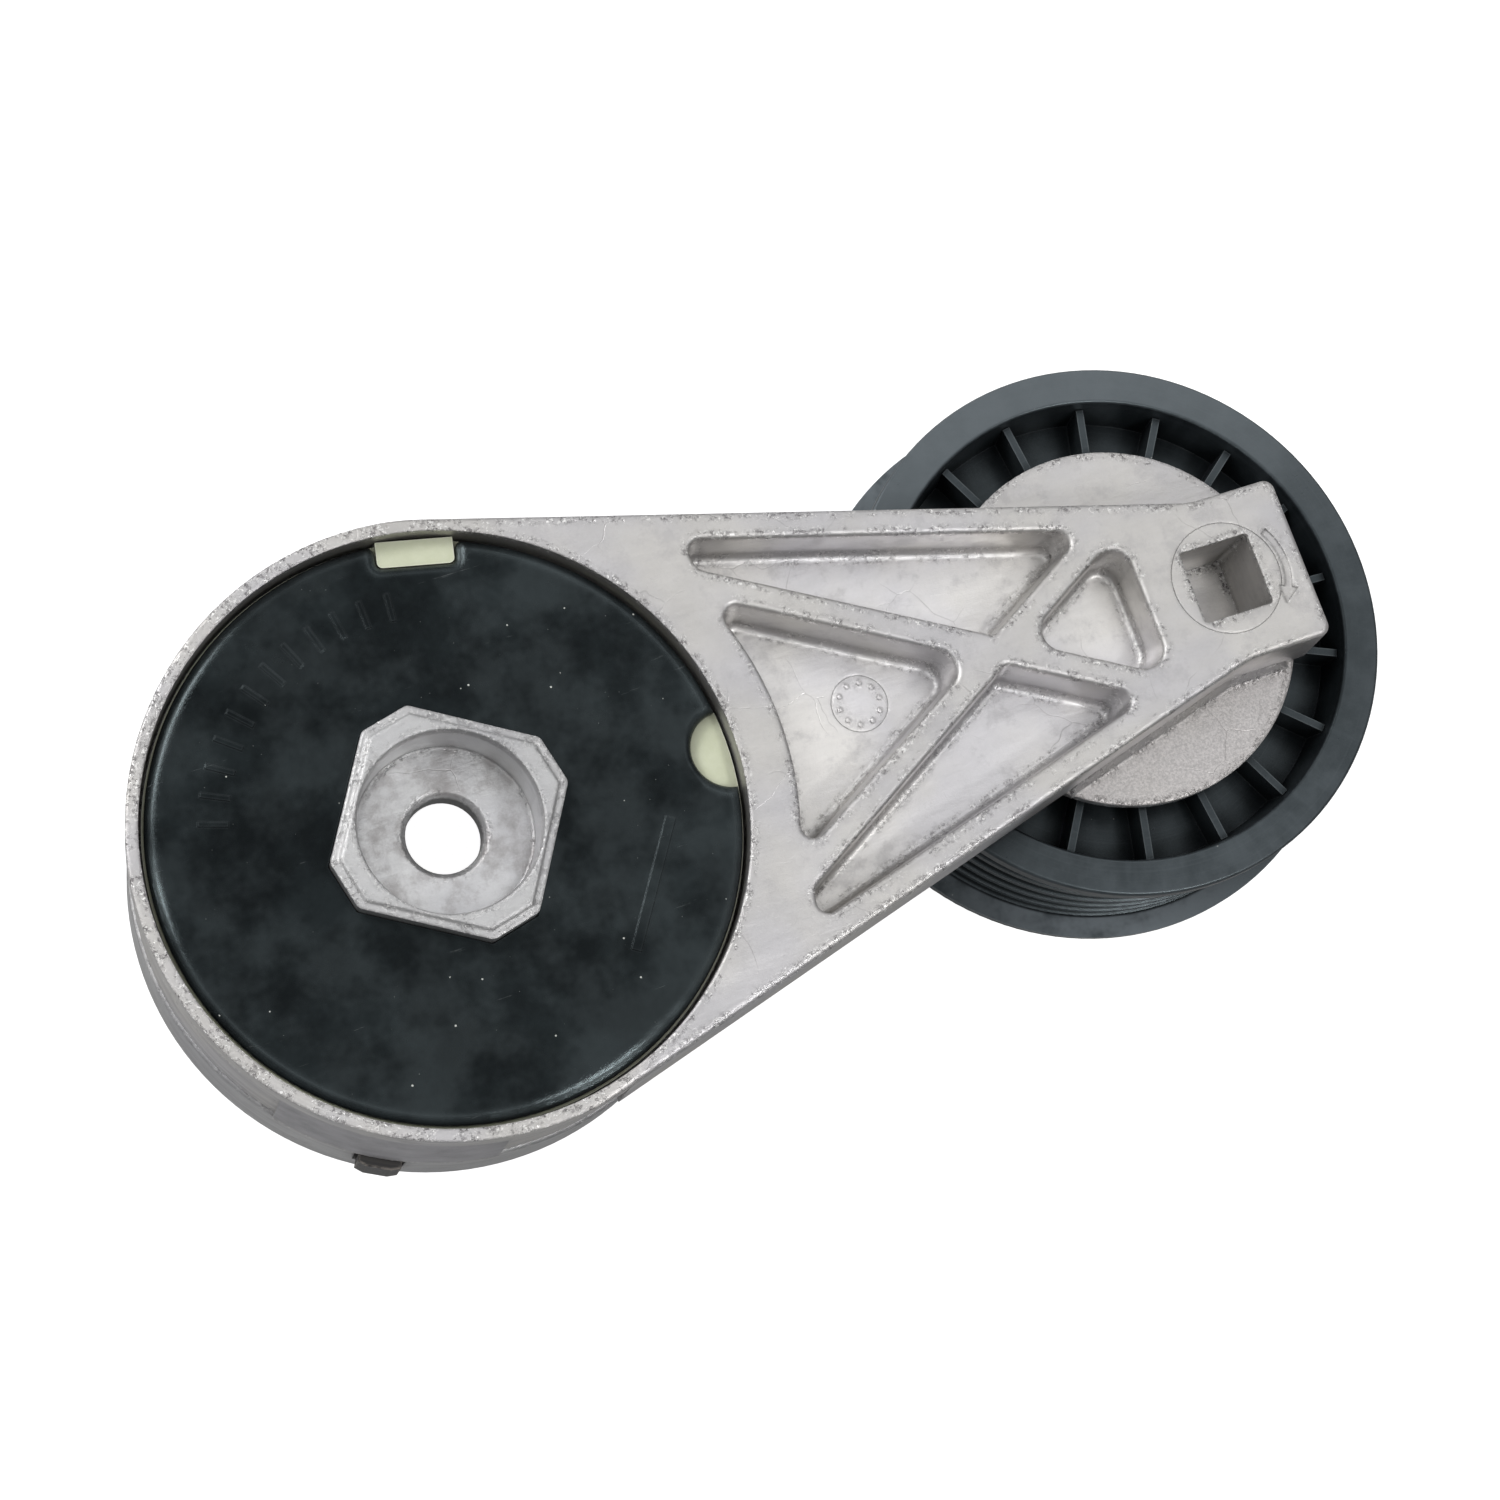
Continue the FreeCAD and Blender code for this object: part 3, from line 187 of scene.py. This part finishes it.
def cast_aluminium(name, tint, haze, worn):
    """Die-cast skin: soft grey mottling, flow lines, hair cracks and rough sparkling edges, with painted
    light on the pocket floors and painted shade along wide edges and in corners.
    """
    look = Look(name)
    broad = look.noise(9.0, 4, 0.6)
    patch = look.noise(21.0, 3, 0.5, shift=40)
    flow = look.noise(3.2, 4, 0.6, stretch=(0.35, 1.5, 1), shift=11)
    grain = look.noise(0.42, 3, 0.7)
    fine = look.noise(0.16, 2, 0.6, shift=5)
    wide_edge = look.edge(2.2, 0.975)
    sharp_edge = look.edge(0.45)
    painted_corner_shade = look.crease(2.2)
    up = look.facing_up()

    tone = look.total(look.times(broad, 0.24), look.times(flow, 0.18), look.times(grain, 0.10), 0.66)
    colour = look.mix(look.step(patch, 0.42, 0.66), tint, haze)
    colour = look.scale_colour(colour, tone)
    # painted light: the pocket floors that face up are painted lighter than the rest; they are also smoother
    floor = look.times(up, look.between(look.z, POCKET_FLOOR_Z - 0.4, POCKET_FLOOR_Z + 0.5, 0.15))
    colour = look.mix(floor, colour, look.scale_colour(colour, 1.32))
    # dull smudges
    smudge = look.times(look.step(look.noise(5.0, 5, 0.7, shift=77), 0.50, 0.68), 0.34)
    colour = look.mix(smudge, colour, (0.36, 0.35, 0.36))
    # hair cracks left by the worn die
    web = look.cells(11.0, "DISTANCE_TO_EDGE", place=look.warped(3.0, 6.0))
    crack = look.times(look.step(web, 0.007, 0.001), look.step(look.noise(12.0, 2, shift=9), 0.50, 0.60), up)
    colour = look.mix(look.times(crack, 0.30), colour, (0.26, 0.25, 0.25))
    # painted shade: a darker grey band along the wide rounded edges
    colour = look.mix(look.times(wide_edge, 0.22), colour, (0.30, 0.29, 0.29))
    # rough edges: dark pits and bright flecks
    rough_band = look.times(wide_edge, look.step(look.noise(2.6, 3, 0.6, shift=3), 0.40, 0.56), 1.3, worn)
    pit = look.times(look.step(look.noise(0.75, 3, 0.75, shift=23), 0.47, 0.40), rough_band)
    colour = look.mix(look.times(pit, 0.75), colour, (0.13, 0.12, 0.125))
    fleck = look.step(look.noise(0.55, 3, 0.8, shift=31), 0.53, 0.60)
    fleck = look.times(fleck, look.math("MAXIMUM", rough_band, look.times(sharp_edge, 0.8)))
    colour = look.mix(look.times(fleck, 0.85), colour, (0.97, 0.96, 0.94))
    # draw marks and faint ridges round the outer walls
    drawn = look.noise(1.5, 3, 0.55, stretch=(0.07, 0.07, 1.0))
    from_pivot = look.around(0.0)[0]
    wall = look.times(look.step(from_pivot, 39.0, 39.5), look.step(from_pivot, 47.0, 43.0, 0.25),
                      look.math("SUBTRACT", 1.0, up))
    colour = look.mix(look.times(wall, look.step(drawn, 0.40, 0.68), 0.30), colour, (0.20, 0.195, 0.20))
    # painted shade: the colour is darkened deep in corners
    colour = look.mix(look.times(painted_corner_shade, 0.62), colour, look.scale_colour(colour, 0.38))

    rough = look.total(0.30, look.times(broad, 0.12), look.times(grain, 0.12), look.times(floor, -0.05),
                       look.times(smudge, 0.25))
    look.set(Base_Color=colour, Metallic=0.86, Roughness=rough)
    height = look.total(look.times(grain, 0.034), look.times(fine, 0.014), look.times(flow, 0.11),
                        look.times(pit, -0.16), look.times(fleck, 0.06), look.times(crack, -0.02))
    look.bump(height, 0.7)
    return look


def arm_aluminium():
    """The arm's casting, with its darker pad and the sparkling half of its dust disc."""
    look = cast_aluminium("cast_aluminium_arm", (0.585, 0.570, 0.550), (0.545, 0.535, 0.545), 1.0)
    base_link = look.shader.inputs["Base Color"].links[0].from_socket
    radius, angle = look.around(0.0)
    degrees = look.times(angle, 180.0 / math.pi)
    # the raised pad on the hub's side has a darker skin
    pad = look.times(look.between(degrees, *PAD_DEGREES, 0.3),
                     look.step(radius, HUB_WALL_R, HUB_WALL_R + 0.4),
                     look.between(look.z, *PAD_Z, 0.8))
    clouds = look.noise(4.0, 4, 0.6, shift=52)
    dull = look.scale_colour((0.33, 0.325, 0.345), look.total(0.5, look.times(clouds, 1.0)))
    colour = look.mix(look.times(pad, 0.85), base_link, dull)
    # the dust disc's lower half is bright and sparkling
    disc = look.times(look.between(look.z, DISC_Z - 0.3, DISC_Z + 0.25, 0.05), look.facing_up(),
                      look.step(look.y, -9.0, -13.0))
    spark = look.noise(0.35, 3, 0.8, shift=8)
    bright = look.scale_colour((0.50, 0.475, 0.46), look.step(spark, 0.36, 0.64, 0.78, 1.22))
    colour = look.mix(look.times(disc, 0.7), colour, bright)
    look.set(Base_Color=colour)
    return look.material


def base_aluminium():
    """The spring case's casting, a little duller, with smudges in the bolt-head recess."""
    look = cast_aluminium("cast_aluminium", (0.54, 0.54, 0.54), (0.48, 0.48, 0.49), 0.40)
    # oily smudges on the floor of the bolt-head recess
    colour = look.shader.inputs["Base Color"].links[0].from_socket
    floor = look.between(look.z, BOLT_SEAT_Z - 0.4, BOLT_SEAT_Z + 0.3, 0.1)
    stain = look.times(floor, look.step(look.noise(6.0, 5, 0.7, shift=61), 0.44, 0.66), 0.6)
    look.set(Base_Color=look.mix(stain, colour, (0.27, 0.25, 0.245)))
    return look.material


def plate_black():
    """Glossy black coat with faint clouds, pale specks and fine scratches."""
    look = Look("black_plate")
    cloud = look.noise(11.0, 5, 0.65)
    haze = look.noise(3.0, 4, 0.65, shift=17)
    gloss = look.step(look.noise(17.0, 4, 0.7, shift=37), 0.40, 0.62, 0.16, 0.46)
    orange_peel = look.noise(1.1, 2, 0.5)
    edge = look.edge(0.5)
    scuff = look.noise(2.2, 4, 0.7, stretch=(0.12, 2.6, 1), shift=33)
    scratch = look.times(look.step(scuff, 0.665, 0.69), look.step(cloud, 0.5, 0.6), 0.5)
    specks = look.cells(3.0, shift=4)
    lone = look.step(look.noise(3.4, 1, shift=90), 0.50, 0.54)
    dot = look.times(look.step(specks, 0.060, 0.03), lone)
    small = look.times(look.step(look.cells(1.3, shift=71), 0.06, 0.04), look.step(haze, 0.52, 0.60))
    colour = look.mix(look.step(cloud, 0.35, 0.7), (0.0016, 0.0022, 0.0026), (0.0085, 0.0112, 0.0122))
    colour = look.mix(look.times(edge, 0.4), colour, (0.03, 0.034, 0.036))
    colour = look.mix(scratch, colour, (0.10, 0.105, 0.105))
    colour = look.mix(look.times(small, 0.35), colour, (0.25, 0.26, 0.25))
    colour = look.mix(look.times(dot, 0.8), colour, (0.55, 0.56, 0.52))
    # the rolled edge is wide, polished and bright
    outer = look.step(look.around(0.0)[0], PLATE_ROLL_R, PLATE_ROLL_R + 2.0)
    polish = look.times(outer, look.edge(2.2, 0.97))
    gloss = look.math("MAXIMUM", gloss, polish)
    rough = look.total(0.14, look.times(haze, 0.20), look.times(scratch, 0.3), look.times(dot, 0.3),
                       look.times(polish, -0.07))
    look.set(Base_Color=colour, Roughness=rough, Specular_IOR_Level=gloss,
             Specular_Tint=(0.84, 1.0, 1.04, 1.0))
    height = look.total(look.times(orange_peel, 0.010), look.times(look.noise(6.0, 2), 0.06),
                        look.times(scratch, -0.01), look.times(dot, 0.03))
    look.bump(height, look.total(0.25, look.times(outer, 2.0)))
    return look.material


def nylon():
    """Cream-white nylon, cloudy, with painted shade in its corners."""
    look = Look("white_nylon")
    cloud = look.noise(2.5, 4, 0.6)
    # painted shade: darker deep in corners and where other parts come close
    nylon_corner_shade = look.times(look.crease(1.6), 0.45)
    colour = look.mix(look.step(cloud, 0.3, 0.7), (0.455, 0.478, 0.345), (0.50, 0.522, 0.39))
    colour = look.mix(nylon_corner_shade, colour, (0.20, 0.20, 0.14))
    colour = look.mix(look.times(look.edge(0.3), 0.4), colour, (0.80, 0.82, 0.70))
    rough = look.total(0.36, look.times(look.noise(0.8, 3), 0.2))
    look.set(Base_Color=colour, Roughness=rough, Subsurface_Weight=0.12, Subsurface_Radius=(0.9, 1.0, 0.6),
             Subsurface_Scale=0.001)
    look.bump(look.total(look.times(cloud, 0.05), look.times(look.noise(0.3, 2), 0.012)))
    return look.material


def pulley_plastic():
    """Glass-filled nylon: dark satin, dusty, with paler handled edges and belt-polished ridges; painted shade
    in the bays and grooves and a painted reflection on the back flange and the front lip.
    """
    look = Look("pulley_plastic")
    dust = look.noise(7.0, 5, 0.65)
    fibre = look.noise(0.5, 3, 0.7, stretch=(0.4, 1.6, 1))
    streak = look.noise(1.0, 3, 0.6, place=look.polar(PULLEY_X, 26.0, 0.08, 0.1))
    rings = look.noise(1.0, 3, 0.6, place=look.polar(PULLEY_X, 0.4, 2.4, 2.4))
    edge = look.edge(0.35)
    film = look.total(look.times(look.step(dust, 0.38, 0.72), 0.6),
                      look.times(look.step(streak, 0.45, 0.75), 0.4))
    colour = look.mix(film, (0.0105, 0.0130, 0.0150), (0.026, 0.031, 0.035))
    colour = look.mix(look.times(look.step(rings, 0.52, 0.72), 0.35), colour, (0.036, 0.041, 0.045))
    colour = look.mix(look.times(edge, look.total(0.25, look.times(fibre, 0.5))), colour, (0.12, 0.135, 0.14))
    mote = look.times(look.step(look.cells(2.6, shift=19), 0.05, 0.03), look.step(dust, 0.5, 0.6))
    colour = look.mix(look.times(mote, 0.6), colour, (0.42, 0.42, 0.40))
    # painted shade: dark in the bays and grooves
    radius = look.around(PULLEY_X)[0]
    cavity = look.crease(6.0)
    groove = look.times(look.step(radius, 37.8, 37.4), look.step(radius, 34.6, 35.2),
                        look.step(look.z, PULLEY_FRONT_Z - 0.8, PULLEY_FRONT_Z - 1.2))
    shade = look.math("MAXIMUM", cavity, groove)
    colour = look.mix(look.times(shade, 0.8), colour, (0.003, 0.0036, 0.004))
    # painted reflection: pale cloudy patches on the back flange's face, stronger on one side
    flange = look.times(look.step(radius, FLANGE_R, FLANGE_R + 0.4),
                        look.between(look.z, BACK_FLANGE_Z - 0.5, BACK_FLANGE_Z + 0.5, 0.2))
    patch = look.step(look.noise(11.0, 4, 0.7, shift=66), 0.30, 0.62)
    sheen_side = look.between(look.x, PULLEY_X - 26.0, PULLEY_X + 8.0, 12.0)
    patch = look.times(patch, look.total(0.25, look.times(sheen_side, 0.75)))
    colour = look.mix(look.times(flange, patch, 0.95), colour, (0.155, 0.175, 0.190))
    # the front lip: dust, and a painted sheen that grows lighter towards +y
    lip = look.times(look.step(radius, 34.3, 34.8),
                     look.step(look.z, PULLEY_FRONT_Z - 0.5, PULLEY_FRONT_Z - 0.2))
    dust_and_sheen = look.total(look.times(look.step(look.y, -5.0, FLANGE_R), 0.8),
                       look.times(look.step(dust, 0.3, 0.7), 0.22))
    colour = look.mix(look.times(lip, dust_and_sheen, 0.8), colour, (0.085, 0.096, 0.104))
    rough = look.total(0.24, look.times(film, 0.14), look.times(fibre, 0.10))
    look.set(Base_Color=colour, Roughness=rough, Specular_IOR_Level=look.step(shade, 0.0, 1.0, 0.56, 0.08),
             Specular_Tint=(0.86, 1.0, 1.06, 1.0))
    look.bump(look.total(look.times(fibre, 0.012), look.times(rings, 0.004), look.times(mote, 0.03)))
    return look.material


def turned_steel(name, tint, centre_x, rough_low, worn):
    """Steel with fine rings from the lathe or grinder, light stains and bright edges."""
    look = Look(name)
    rings = look.noise(1.0, 4, 0.7, place=look.polar(centre_x, 0.5, 7.0, 7.0))
    stain = look.noise(4.0, 5, 0.7, shift=6)
    colour = look.scale_colour(tint, look.total(0.86, look.times(rings, 0.28)))
    colour = look.mix(look.times(look.step(stain, 0.5, 0.75), worn), colour, (0.24, 0.20, 0.16))
    colour = look.mix(look.times(look.edge(0.35), 0.5), colour, (0.86, 0.86, 0.86))
    colour = look.mix(look.times(look.crease(2.0), 0.4), colour, (0.07, 0.06, 0.05))
    rough = look.total(rough_low, look.times(rings, 0.14), look.times(stain, 0.12))
    look.set(Base_Color=colour, Metallic=1.0, Roughness=rough)
    look.bump(look.total(look.times(rings, 0.006), look.times(stain, 0.01)))
    return look.material


def zinc_plate():
    """Zinc plating: pale grey with a faint blue and straw bloom and small spangles."""
    look = Look("zinc_steel")
    bloom = look.noise(5.0, 4, 0.6)
    spangle = look.add("TexVoronoi", {"Vector": look.spot(), "Scale": 1.0 / 1.4}, out="Color")
    shade = look.add("SeparateXYZ", {0: spangle}, out="X")
    colour = look.mix(look.step(bloom, 0.35, 0.65), (0.54, 0.55, 0.60), (0.64, 0.61, 0.50))
    colour = look.scale_colour(colour, look.total(0.9, look.times(shade, 0.16)))
    colour = look.mix(look.times(look.edge(0.4), 0.45), colour, (0.82, 0.82, 0.80))
    rust = look.times(look.crease(2.5), look.step(look.noise(1.4, 5, 0.7, shift=2), 0.45, 0.65), 0.7)
    colour = look.mix(rust, colour, (0.16, 0.09, 0.05))
    rough = look.total(0.26, look.times(shade, 0.12), look.times(rust, 0.3))
    look.set(Base_Color=colour, Metallic=1.0, Roughness=rough)
    look.bump(look.total(look.times(look.noise(0.7, 3), 0.012), look.times(rust, 0.02)))
    return look.material


def coated_spring():
    """Black-coated spring wire, rubbed through to brown steel along its edges."""
    look = Look("black_spring")
    drawn = look.noise(1.0, 3, 0.6, place=look.polar(0.0, 0.8, 4.0, 4.0))
    chip = look.noise(0.9, 4, 0.7, shift=12)
    rub = look.times(look.edge(0.7), look.step(chip, 0.34, 0.56))
    colour = look.mix(look.step(drawn, 0.4, 0.7), (0.012, 0.011, 0.011), (0.030, 0.027, 0.025))
    colour = look.mix(look.times(rub, 0.8), colour, (0.30, 0.27, 0.24))
    rough = look.total(0.34, look.times(chip, 0.25))
    look.set(Base_Color=colour, Metallic=look.times(rub, 0.8), Roughness=rough)
    look.bump(look.total(look.times(drawn, 0.012), look.times(chip, 0.02), look.times(rub, -0.03)))
    return look.material


def blued_spring():
    """Spring steel with heat colours and fine rings."""
    look = Look("spring_steel")
    rings = look.noise(1.0, 3, 0.6, place=look.polar(0.0, 0.6, 5.0, 1.0))
    heat = look.noise(6.0, 4, 0.6)
    colour = look.mix(look.step(heat, 0.35, 0.65), (0.20, 0.21, 0.25), (0.34, 0.30, 0.25))
    colour = look.mix(look.times(look.edge(0.3), 0.5), colour, (0.62, 0.62, 0.62))
    look.set(Base_Color=colour, Metallic=1.0, Roughness=look.total(0.24, look.times(rings, 0.2)))
    look.bump(look.times(rings, 0.008))
    return look.material


def seal_rubber():
    """Black rubber with moulded rings, a grey bloom and dusty corners."""
    look = Look("seal_rubber")
    rings = look.noise(1.0, 3, 0.6, place=look.polar(PULLEY_X, 0.5, 3.5, 1.0))
    bloom = look.noise(2.2, 5, 0.7, shift=3)
    colour = look.mix(look.step(bloom, 0.42, 0.72), (0.012, 0.012, 0.013), (0.036, 0.036, 0.037))
    colour = look.mix(look.times(look.crease(1.2), 0.5), colour, (0.06, 0.05, 0.035))
    rough = look.total(0.52, look.times(rings, 0.15), look.times(bloom, 0.12))
    look.set(Base_Color=colour, Roughness=rough)
    look.bump(look.total(look.times(rings, 0.012), look.times(look.noise(0.25, 2), 0.008)))
    return look.material


def dress_nodes():
    """Every sub-part's material."""
    looks = {
        "base_housing": base_aluminium(),
        "tensioner_arm": arm_aluminium(),
        "front_plate": plate_black(),
        "pulley": pulley_plastic(),
        "torsion_spring": coated_spring(),
        "damper_spring": blued_spring(),
        "locating_pin": turned_steel("bright_steel", (0.60, 0.60, 0.61), PIN_X, 0.22, 0.3),
    }
    white = nylon()
    for node in ("damper_ring", "front_bushing", "rear_bushing"):
        looks[node] = white
    race = turned_steel("bearing_steel", (0.66, 0.66, 0.67), PULLEY_X, 0.16, 0.15)
    looks["bearing_outer_ring"] = race
    looks["bearing_inner_ring"] = race
    looks["bearing_balls"] = turned_steel("ball_steel", (0.74, 0.74, 0.75), PULLEY_X, 0.06, 0.05)
    cage = turned_steel("cage_steel", (0.52, 0.50, 0.46), PULLEY_X, 0.3, 0.4)
    rubber = seal_rubber()
    zinc = zinc_plate()
    for node in ("bearing_cage_front", "bearing_cage_back", "cage_rivets"):
        looks[node] = cage
    for node in ("bearing_seal_front", "bearing_seal_back"):
        looks[node] = rubber
    for node in ("pulley_bolt", "rear_dust_shield"):
        looks[node] = zinc
    for name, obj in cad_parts.items():
        obj.data.materials.clear()
        obj.data.materials.append(looks[name])


def wind_spring():
    """A copy of the spring's mesh in place of the CAD spring, which is hidden; the outer end sits in the case
    and the inner end on the arm.
    """
    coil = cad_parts["torsion_spring"]
    spring = bpy.data.objects.new("wound_spring", coil.data.copy())
    bpy.context.scene.collection.objects.link(spring)
    spring.matrix_world = coil.matrix_world
    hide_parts("torsion_spring")
    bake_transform(spring)


# ---------------------------------------------------------------- stage, light and camera

def look_from(name, place, target, roll_deg, lens):
    """Camera at a place, looking at a target, turned about its own view line."""
    data = bpy.data.cameras.new(name)
    data.lens = lens
    data.sensor_width = 36.0
    camera = bpy.data.objects.new(name, data)
    bpy.context.scene.collection.objects.link(camera)
    forward = (Vector(target) - Vector(place)).normalized()
    side = forward.cross(Vector((0, 1, 0))).normalized()
    up = side.cross(forward)
    turn = Matrix((side, up, -forward)).transposed()
    roll = Matrix.Rotation(math.radians(roll_deg), 4, "Z")
    camera.matrix_world = Matrix.Translation(place) @ turn.to_4x4() @ roll
    bpy.context.scene.camera = camera


def pale_floor(z, half, glow):
    """A white table that glows a little, so that shadows on it stay faint."""
    mesh = bpy.data.meshes.new("floor")
    corners = [(-half, -half, z), (half, -half, z), (half, half, z), (-half, half, z)]
    mesh.from_pydata(corners, [], [(0, 1, 2, 3)])
    floor = bpy.data.objects.new("floor", mesh)
    bpy.context.scene.collection.objects.link(floor)
    look = Look("floor")
    tone = look.total(0.30, look.times(look.noise(30.0, 3), 0.02))
    seen = look.total(0.08, look.times(look.add("LightPath", out="Is Camera Ray"), glow))
    look.set(Base_Color=look.scale_colour((1.0, 1.0, 1.0), tone), Roughness=0.85, Specular_IOR_Level=0.2,
             Emission_Color=(1, 1, 1, 1), Emission_Strength=seen)
    # seen from below, the table is clear
    faces = {0: look.add("NewGeometry", out="Backfacing"), 1: look.shader.outputs["BSDF"],
             2: look.add("BsdfTransparent", out="BSDF")}
    surface = look.tree.nodes["Material Output"].inputs["Surface"]
    look.tree.links.new(look.add("MixShader", faces, out="Shader"), surface)
    mesh.materials.append(look.material)


def soft_box(name, place, target, size, power):
    """A flat lamp at a place, facing a target."""
    data = bpy.data.lights.new(name, "AREA")
    data.shape = "RECTANGLE"
    data.size, data.size_y = size
    data.energy = power
    light = bpy.data.objects.new(name, data)
    bpy.context.scene.collection.objects.link(light)
    light.location = place
    light.rotation_euler = (Vector(target) - Vector(place)).to_track_quat("-Z", "Y").to_euler()


def light_tent():
    """Soft tent: pale towards the upper left, darker to the lower right, with cards and clouds overhead."""
    world = bpy.data.worlds.new("tent")
    bpy.context.scene.world = world
    world.use_nodes = True
    sky = Nodes(world.node_tree)
    place = sky.add("TexCoord", out="Generated")
    x, y, z = sky.add("SeparateXYZ", {0: place}, out=None).outputs
    side = sky.total(sky.times(x, -0.42), sky.times(y, 0.90))
    wall = sky.step(side, -0.7, 0.9, 0.20, 0.80)
    billow = sky.add("TexNoise", {"Vector": place, "Scale": 6.0, "Detail": 3.0})
    clouds = sky.step(billow, 0.36, 0.64, 0.60, 1.05)
    card = sky.times(sky.step(x, 0.26, 0.36), sky.step(y, 0.17, 0.27), 1.3)
    gap = sky.times(sky.step(x, 0.16, 0.04), sky.step(y, 0.10, 0.20), -0.45)
    overhead = sky.total(clouds, card, gap)
    low = sky.step(z, 0.86, 0.55)
    strength = sky.add("Mix", {"Factor": low, "A": overhead, "B": wall})
    sky.tree.links.new(strength, sky.tree.nodes["Background"].inputs["Strength"])
    sky.tree.nodes["Background"].inputs["Color"].default_value = (0.985, 0.99, 1.0, 1.0)


dress_nodes()
wind_spring()
pale_floor(TABLE_Z, half=8.0, glow=0.90)
soft_box("key", (-0.40, 0.58, 0.66), target=(0.04, 0, 0), size=(0.42, 0.32), power=5.0)
soft_box("kicker", (0.28, -0.39, 0.68), target=(0.02, 0, 0), size=(0.13, 0.10), power=1.9)
soft_box("strip", (-0.40, 0.16, 0.62), target=(0.02, 0, 0), size=(0.05, 0.20), power=0.7)
light_tent()
bpy.context.scene.view_settings.view_transform = "Standard"
look_from("camera", (-0.0688, -0.0771, 0.4612), target=(0.0467, 0.0002, 0.020), roll_deg=-20.1, lens=78.5)
